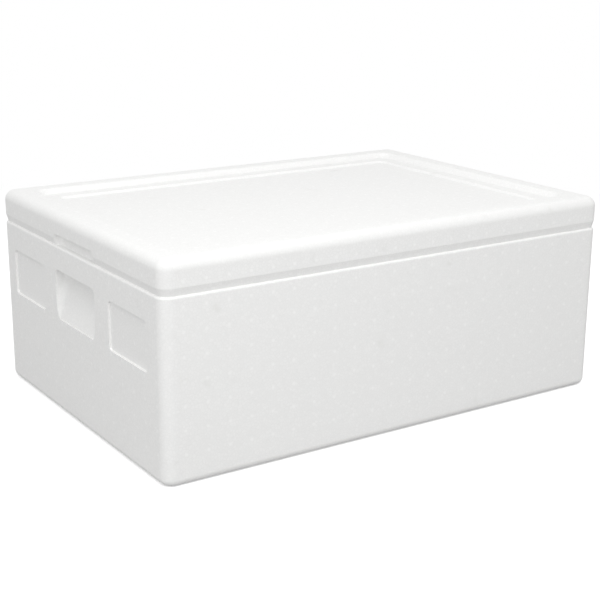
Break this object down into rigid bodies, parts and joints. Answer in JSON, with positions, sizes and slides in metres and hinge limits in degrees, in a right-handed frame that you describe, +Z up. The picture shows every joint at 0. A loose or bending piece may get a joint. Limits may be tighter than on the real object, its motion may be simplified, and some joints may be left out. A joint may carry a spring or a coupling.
{
  "type": "insulated foam box",
  "caption": "White moulded bead-foam box with a lift-off lid, a tongue-and-groove seam, grip pockets in the short ends and a recessed top for stacking.",
  "frame": {"origin": "centre of the foot, on the surface the box stands on", "axes": "+Z up, X along the long side, Y along the short side; the grip pockets are in the -X and +X ends"},
  "size_m": [0.685, 0.485, 0.276],
  "materials": {
    "bead_foam": "white expanded polystyrene, matt, with the fused beads faintly visible"
  },
  "bodies": {
    "tub": {"box_body": "bead_foam"},
    "lid": {"lid": "bead_foam"}
  },
  "joints": [
    {"name": "lid_lift", "type": "slide", "parent": "tub", "child": "lid", "axis": [0, 0, 1], "range_m": [0, 0.3]}
  ]
}
